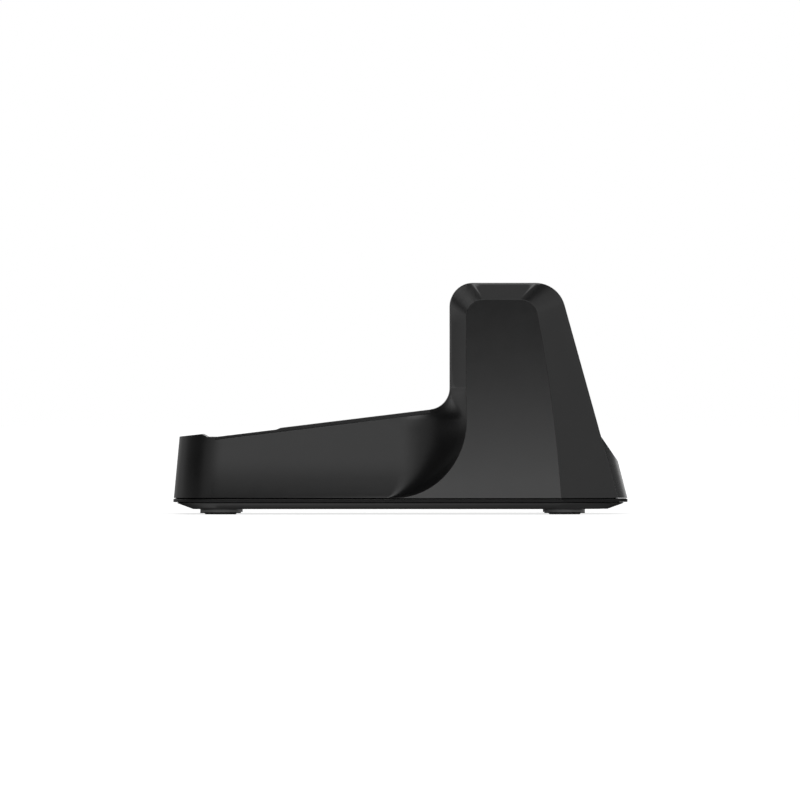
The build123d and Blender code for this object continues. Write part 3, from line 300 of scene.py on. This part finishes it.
def base_plastic(name):
    """Plastic of the bottom cover, paler on the foot rings as a painted highlight, with painted shade
    at their foot and in the lower parting line.
    """
    material, tree, shader, place = moulded(name, grey(0.009, 0.03), 0.30)
    height = add_node(tree, "ShaderNodeSeparateXYZ", {0: place}).outputs["Z"]
    # painted highlight: the face of the foot rings is a paler grey, standing in for the light it
    # catches
    ring_highlight_band = remap(tree, height, RING_TOP_Z + BAND_BLUR, RING_TOP_Z - BAND_BLUR, 0.0, 1.0)
    wear_and_highlight = mix_colour(tree, noise(tree, place, 0.8 * MM, 4.0), grey(0.11), grey(0.16))
    blend_input(tree, shader, "Base Color", ring_highlight_band, wear_and_highlight, mix_colour)
    blend_input(tree, shader, "Roughness", ring_highlight_band, 0.5, mix_value)
    # painted shade at the foot of the rings and in the lower parting line
    paint_shade_band(tree, shader, place, -BAND_BLUR, RING_SHADE_TOP_Z)
    paint_shade_band(tree, shader, place, *LOWER_LINE_SHADE_Z)
    return material


def housing_plastic(name):
    """Spark-eroded black of the housing, with painted shade in the parting line over the trim plate.
    """
    material, tree, shader, place = moulded(name, grey(0.005, 0.04), 0.29)
    # painted shade in the parting line over the trim plate
    paint_shade_band(tree, shader, place, *UPPER_LINE_SHADE_Z)
    return material


def ribbon_film(name):
    """Flat cable: pale strands side by side in a clear film."""
    material, tree, shader, place = start_material(name)
    sockets = {"Vector": place, "Scale": 1 / RIBBON_PITCH}
    strands = add_node(tree, "ShaderNodeTexWave", sockets, bands_direction="X").outputs[1]
    film = mix_colour(tree, strands, grey(0.62, -0.05), grey(0.42, -0.1))
    tree.links.new(film, shader.inputs["Base Color"])
    tree.links.new(remap(tree, strands, 0.0, 1.0, 0.3, 0.45), shader.inputs["Roughness"])
    return material


# finish: colour, roughness, and what differs from the usual settings of moulded()
MOULDED = {
    "liner_plastic": (grey(0.007, 0.04), 0.36, {"grain": 0.3 * MM, "relief": 0.003 * MM}),
    "trim_plastic": (grey(0.005, 0.03), 0.30, {"relief": 0.003 * MM, "specular": 0.35}),
    "port_plastic": (grey(0.014, 0.04), 0.28, {"relief": 0.003 * MM, "specular": 1.0}),
    "panel_plastic": (grey(0.010, 0.05), 0.36, {"relief": 0.0015 * MM, "wear": 0.8}),
    "key_plastic": (grey(0.018, 0.05), 0.38, {"relief": 0.003 * MM}),
    "foot_rubber": (grey(0.014), 0.72, {"grain": 0.4 * MM, "relief": 0.01 * MM, "specular": 0.3}),
    "socket_plastic": (grey(0.010), 0.45, {}),
    "chip_resin": (grey(0.012), 0.55, {"relief": 0.004 * MM}),
    "speaker_paper": (grey(0.02), 0.85, {"grain": 0.5 * MM, "relief": 0.03 * MM}),
    "magnet": (grey(0.05, 0.05), 0.55, {"relief": 0.01 * MM}),
    "capacitor_sleeve": ((0.012, 0.02, 0.09, 1), 0.22, {"relief": 0.002 * MM}),
    "transformer_core": ((0.06, 0.055, 0.05, 1), 0.6, {}),
}
# the same, with further inputs of the shader
TRANSLUCENT = {
    "silicone": (
        (grey(0.42, -0.03), 0.6, {"grain": 0.5 * MM}),
        {"Subsurface Weight": 0.3, "Subsurface Radius": (2 * MM, 2 * MM, 2 * MM)},
    ),
    "light_pipe": ((grey(0.62, 0.04), 0.22, {"relief": 0.002 * MM}), {"Transmission Weight": 0.35}),
    "led_body": ((grey(0.7, -0.04), 0.3, {}), {"Transmission Weight": 0.2}),
}
# finish: colour, roughness, tarnish
METALS = {
    "steel": ((0.56, 0.56, 0.58, 1), 0.32, 0.25),
    "tin_plate": ((0.66, 0.66, 0.64, 1), 0.30, 0.25),
    "gold_plate": ((0.90, 0.66, 0.26, 1), 0.22, 0.12),
}


def make_materials():
    """One material for each finish that the record names."""
    made = {
        "housing_plastic": housing_plastic("housing_plastic"),
        "base_plastic": base_plastic("base_plastic"),
        "circuit_board": circuit_board("circuit_board"),
        "ribbon": ribbon_film("ribbon"),
    }
    for name, (colour, roughness, extra) in MOULDED.items():
        made[name] = moulded(name, colour, roughness, **extra)[0]
    for name, ((colour, roughness, extra), inputs) in TRANSLUCENT.items():
        made[name], _, shader, _ = moulded(name, colour, roughness, **extra)
        for socket, value in inputs.items():
            shader.inputs[socket].default_value = value
    for name, (colour, roughness, tarnish) in METALS.items():
        made[name] = metal(name, colour, roughness, tarnish)
    return made


# ---------------------------------------------------------------- soft edges on the CAD meshes
def make_smoothing():
    """Node group that welds a mesh and shades it smooth up to SMOOTH_ANGLE."""
    group = bpy.data.node_groups.new("smooth_by_angle", "GeometryNodeTree")
    group.interface.new_socket("Geometry", in_out="INPUT", socket_type="NodeSocketGeometry")
    group.interface.new_socket("Geometry", in_out="OUTPUT", socket_type="NodeSocketGeometry")
    start = add_node(group, "NodeGroupInput").outputs[0]
    sockets = {"Geometry": start, "Name": "custom_normal"}
    plain = add_node(group, "GeometryNodeRemoveAttribute", sockets)
    sockets = {"Geometry": plain.outputs[0], "Distance": WELD_DISTANCE}
    welded = add_node(group, "GeometryNodeMergeByDistance", sockets)
    sockets = {"Geometry": welded.outputs[0], "Shade Smooth": True}
    rounded = add_node(group, "GeometryNodeSetShadeSmooth", sockets)
    angle = add_node(group, "GeometryNodeInputMeshEdgeAngle").outputs["Unsigned Angle"]
    sockets = {0: angle, 1: SMOOTH_ANGLE}
    small = add_node(group, "FunctionNodeCompare", sockets, operation="LESS_THAN")
    sockets = {"Geometry": rounded.outputs[0]}
    creased = add_node(group, "GeometryNodeSetShadeSmooth", sockets, domain="EDGE")
    group.links.new(small.outputs[0], creased.inputs["Shade Smooth"])
    add_node(group, "NodeGroupOutput", {0: creased.outputs[0]})
    return group


def dress_cad_nodes(materials):
    """Give every CAD node its finish and smooth shading."""
    smoothing = make_smoothing()
    slot_of = {part["node"]: part["material_slot"] for part in frame["record"]["subparts"]}
    for name, node in frame["nodes"].items():
        node.modifiers.new("smooth", "NODES").node_group = smoothing
        for slot in node.material_slots:
            slot.link = "OBJECT"
            slot.material = materials[slot_of[name]]


# ---------------------------------------------------------------- new objects
def add_object(name, data):
    """New object in the scene."""
    made = bpy.data.objects.new(name, data)
    bpy.context.scene.collection.objects.link(made)
    return made


def closed_object(name, form, material):
    """New object from a closed bmesh, which this frees."""
    bmesh.ops.recalc_face_normals(form, faces=form.faces)
    mesh = bpy.data.meshes.new(name)
    form.to_mesh(mesh)
    form.free()
    mesh.materials.append(material)
    return add_object(name, mesh)


# ---------------------------------------------------------------- printed symbols on the keys
def block(left, right, low, high):
    """Outline of a rectangle."""
    return [(left, low), (right, low), (right, high), (left, high)]


def arrow(foot, tip, half):
    """Outline of a solid arrowhead lying along x."""
    return [(foot, -half), (tip, 0.0), (foot, half)]


def turned(shape, degrees):
    """The outline turned about the middle of the key."""
    c, s = math.cos(math.radians(degrees)), math.sin(math.radians(degrees))
    return [(x * c - y * s, x * s + y * c) for x, y in shape]


def bow(radius, width, start, end, steps=20):
    """Outline of a bent bar from one angle to another, in degrees."""
    angles = [math.radians(start + (end - start) * step / steps) for step in range(steps + 1)]
    outer, inner = (
        [(r * math.cos(angle), r * math.sin(angle)) for angle in angles]
        for r in (radius + width / 2, radius - width / 2)
    )
    return outer + inner[::-1]


# outlines in millimetres on the key's top: +x to the right, +y away from the user
STROKE = 0.42
MINUS = block(-1.1, 1.1, -STROKE / 2, STROKE / 2)
SLASH = block(-1.3, 1.3, -STROKE / 2, STROKE / 2)
SYMBOLS = {
    "play_stop_key": [arrow(-3.4, -1.0, 1.4), block(0.9, 3.3, -1.2, 1.2)],
    "skip_back_key": [block(-2.0, -1.6, -1.1, 1.1), arrow(0.2, -1.5, 1.1), arrow(2.0, 0.3, 1.1)],
    "skip_forward_key": [block(1.6, 2.0, -1.1, 1.1), arrow(-0.2, 1.5, 1.1), arrow(-2.0, -0.3, 1.1)],
    "delete_key": [turned(SLASH, 45), turned(SLASH, -45)],
    "volume_down_key": [MINUS],
    "volume_up_key": [MINUS, block(-STROKE / 2, STROKE / 2, -1.1, 1.1)],
    "answer_on_key": [bow(1.2, STROKE, 125, 415), block(-STROKE / 2, STROKE / 2, 0.3, 1.6)],
    "page_key": [bow(0.3, 0.6, 0, 360)]
    + [bow(radius, STROKE, side - 40, side + 40) for radius in (1.2, 2.2) for side in (0, 180)],
}
INK_ABOVE = 0.03 * MM
INK_BELOW = 0.05 * MM
# how far below its highest point a vertex of a key still belongs to the top face
TOP_FACE_DEPTH = 0.01 * MM


def key_top(name):
    """Centre of a key's top face, with the directions to the right, to the back and out of it."""
    joints = frame["record"]["behaviour"]["joints"]
    press = next(joint for joint in joints if joint["child"] == name)
    out = -Vector(press["axis"]).normalized()
    right = Vector((1, 0, 0))
    back = out.cross(right)
    points = [vertex.co for vertex in frame["nodes"][name].data.vertices]
    top = max(point.dot(out) for point in points)
    cap = [point for point in points if point.dot(out) > top - TOP_FACE_DEPTH]
    across = [point.dot(right) for point in cap]
    along = [point.dot(back) for point in cap]
    middle = right * (min(across) + max(across)) / 2 + back * (min(along) + max(along)) / 2
    return middle + out * top, right, back, out


def print_symbols():
    """Thin printed marks that ride on the keys."""
    print_film = {"grain": 0.1 * MM, "relief": 0.002 * MM, "wear": 0.0, "edge_r": 0.02 * MM}
    ink = moulded("key_ink", grey(0.55), 0.55, **print_film)[0]
    for name, outlines in SYMBOLS.items():
        centre, right, back, out = key_top(name)
        form = bmesh.new()
        for outline in outlines:
            flat = [centre + (right * x + back * y) * MM for x, y in outline]
            low = [form.verts.new(point - out * INK_BELOW) for point in flat]
            high = [form.verts.new(point + out * INK_ABOVE) for point in flat]
            form.faces.new(high)
            form.faces.new(low[::-1])
            for here in range(len(flat)):
                there = (here + 1) % len(flat)
                form.faces.new((low[here], low[there], high[there], high[here]))
        symbol = closed_object(name + "_symbol", form, ink)
        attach(symbol, name)


# ---------------------------------------------------------------- contact springs
SPRING_TURNS = 5
SPRING_STEPS = 36
SPRING_SIDES = 10
SPRING_WIRE_R = 0.15 * MM


def wind_coil(form, bottom, coil_r, rise):
    """Add a coil of round wire that climbs by rise from the point at its foot."""
    rings = []
    steps = SPRING_TURNS * SPRING_STEPS
    for step in range(steps + 1):
        turn = 2 * math.pi * step / SPRING_STEPS
        out = Vector((math.cos(turn), math.sin(turn), 0))
        height = bottom.z + rise * step / steps
        centre = Vector((bottom.x, bottom.y, height)) + out * coil_r
        ring = []
        for point in range(SPRING_SIDES):
            around = 2 * math.pi * point / SPRING_SIDES
            offset = out * math.cos(around) + Vector((0, 0, math.sin(around)))
            ring.append(form.verts.new(centre + offset * SPRING_WIRE_R))
        rings.append(ring)
    for near, far in zip(rings, rings[1:]):
        for point in range(SPRING_SIDES):
            after = (point + 1) % SPRING_SIDES
            form.faces.new((near[point], near[after], far[after], far[point]))
    form.faces.new(rings[0][::-1])
    form.faces.new(rings[-1])
    for face in form.faces:
        face.smooth = True


def wind_springs(steel):
    """Coils under the charge contacts, in place of the CAD springs, which this hides."""
    for side in ("left", "right"):
        node = f"contact_spring_{side}"
        lowest, highest = (Vector(corner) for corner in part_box(node))
        middle = (lowest + highest) / 2
        coil_r = (highest.x - lowest.x) / 2 - SPRING_WIRE_R
        rise = highest.z - lowest.z - 2 * SPRING_WIRE_R
        form = bmesh.new()
        wind_coil(form, Vector((middle.x, middle.y, lowest.z + SPRING_WIRE_R)), coil_r, rise)
        coil = closed_object(node + "_coil", form, steel)
        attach(coil, "base")
        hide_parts(node)
        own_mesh(coil)


# ---------------------------------------------------------------- studio
def make_floor():
    """Pale light table: it takes the object's shadow, and the object doesn't mirror it."""
    mesh = bpy.data.meshes.new("floor")
    half = FLOOR_SIZE / 2
    corners = [(-half, -half, 0), (half, -half, 0), (half, half, 0), (-half, half, 0)]
    mesh.from_pydata(corners, [], [(0, 1, 2, 3)])
    floor = add_object("floor", mesh)
    floor.visible_glossy = False
    floor.visible_diffuse = False
    material, tree, shader, place = start_material("floor_paper")
    mottle = noise(tree, place, PAPER_GRAIN)
    tone = remap(tree, mottle, 0.3, 0.7, FLOOR_WHITE - PAPER_MOTTLE, FLOOR_WHITE + PAPER_MOTTLE)
    tree.links.new(tone, shader.inputs["Base Color"])
    shader.inputs["Roughness"].default_value = 1.0
    shader.inputs["Specular IOR Level"].default_value = 0.0
    shader.inputs["Emission Color"].default_value = (1, 1, 1, 1)
    shader.inputs["Emission Strength"].default_value = FLOOR_GLOW
    mesh.materials.append(material)


def panel_glow(tree, direction, azimuth, elevation, inner, outer, strength):
    """Light of one soft panel, by the angle between the direction and the panel's middle."""
    turn, climb = math.radians(azimuth), math.radians(elevation)
    level = math.cos(climb)
    towards = (math.sin(turn) * level, -math.cos(turn) * level, math.sin(climb))
    sockets = {0: direction, 1: towards}
    dot = add_node(tree, "ShaderNodeVectorMath", sockets, operation="DOT_PRODUCT").outputs["Value"]
    rim, full = math.cos(math.radians(outer)), math.cos(math.radians(inner))
    return remap(tree, dot, rim, full, 0.0, strength)


def make_world():
    """White room for the camera, and a dim studio with soft panels for the light."""
    world = bpy.data.worlds.new("studio")
    world.use_nodes = True
    tree = world.node_tree
    tree.nodes.clear()
    direction = add_node(tree, "ShaderNodeTexCoord").outputs["Generated"]
    x, y, z = add_node(tree, "ShaderNodeSeparateXYZ", {0: direction}).outputs
    under = remap(tree, z, *BELOW_FADE_Z, ROOM_LIGHT, BELOW_LIGHT)
    low = remap(tree, z, *NEAR_FADE_Z, 0.0, 1.0)
    near = math_node(tree, "MULTIPLY", low, remap(tree, x, *NEAR_FADE_X, 0.0, NEAR_LIGHT))
    above = remap(tree, z, *HORIZON_FADE_Z, 0.0, 1.0)
    behind = math_node(tree, "MULTIPLY", above, remap(tree, x, *BACK_FADE_X, 0.0, BACK_LIGHT))
    level = math_node(tree, "MULTIPLY", above, remap(tree, z, *FRONT_FADE_Z, 0.0, 1.0))
    front = math_node(tree, "MULTIPLY", level, remap(tree, y, *FRONT_FADE_Y, 0.0, FRONT_LIGHT))
    panels = [panel_glow(tree, direction, *panel) for panel in SOFT_PANELS]
    total = under
    for part in (near, behind, front, *panels):
        total = math_node(tree, "ADD", total, part)
    seen = add_node(tree, "ShaderNodeLightPath").outputs["Is Camera Ray"]
    brightness = mix_value(tree, seen, total, 1.0)
    light = add_node(tree, "ShaderNodeBackground", {"Color": (1, 1, 1, 1), "Strength": brightness})
    add_node(tree, "ShaderNodeOutputWorld", {0: light.outputs[0]})
    bpy.context.scene.world = world


def make_camera():
    """Camera level with the object, so far off that the view is all but flat."""
    data = bpy.data.cameras.new("camera")
    data.lens = LENS_MM
    data.sensor_width = SENSOR_MM
    data.clip_start, data.clip_end = 0.1, 3 * FLOOR_SIZE
    camera = add_object("camera", data)
    distance = FRAME_WIDTH * LENS_MM / SENSOR_MM
    camera.location = (SIDE_PLANE_X + distance, AIM_Y, AIM_Z)
    camera.rotation_euler = (math.pi / 2, 0, math.pi / 2)
    bpy.context.scene.camera = camera


make_camera()
make_floor()
make_world()
bpy.context.scene.view_settings.view_transform = "Standard"
finishes = make_materials()
dress_cad_nodes(finishes)
print_symbols()
wind_springs(finishes["steel"])
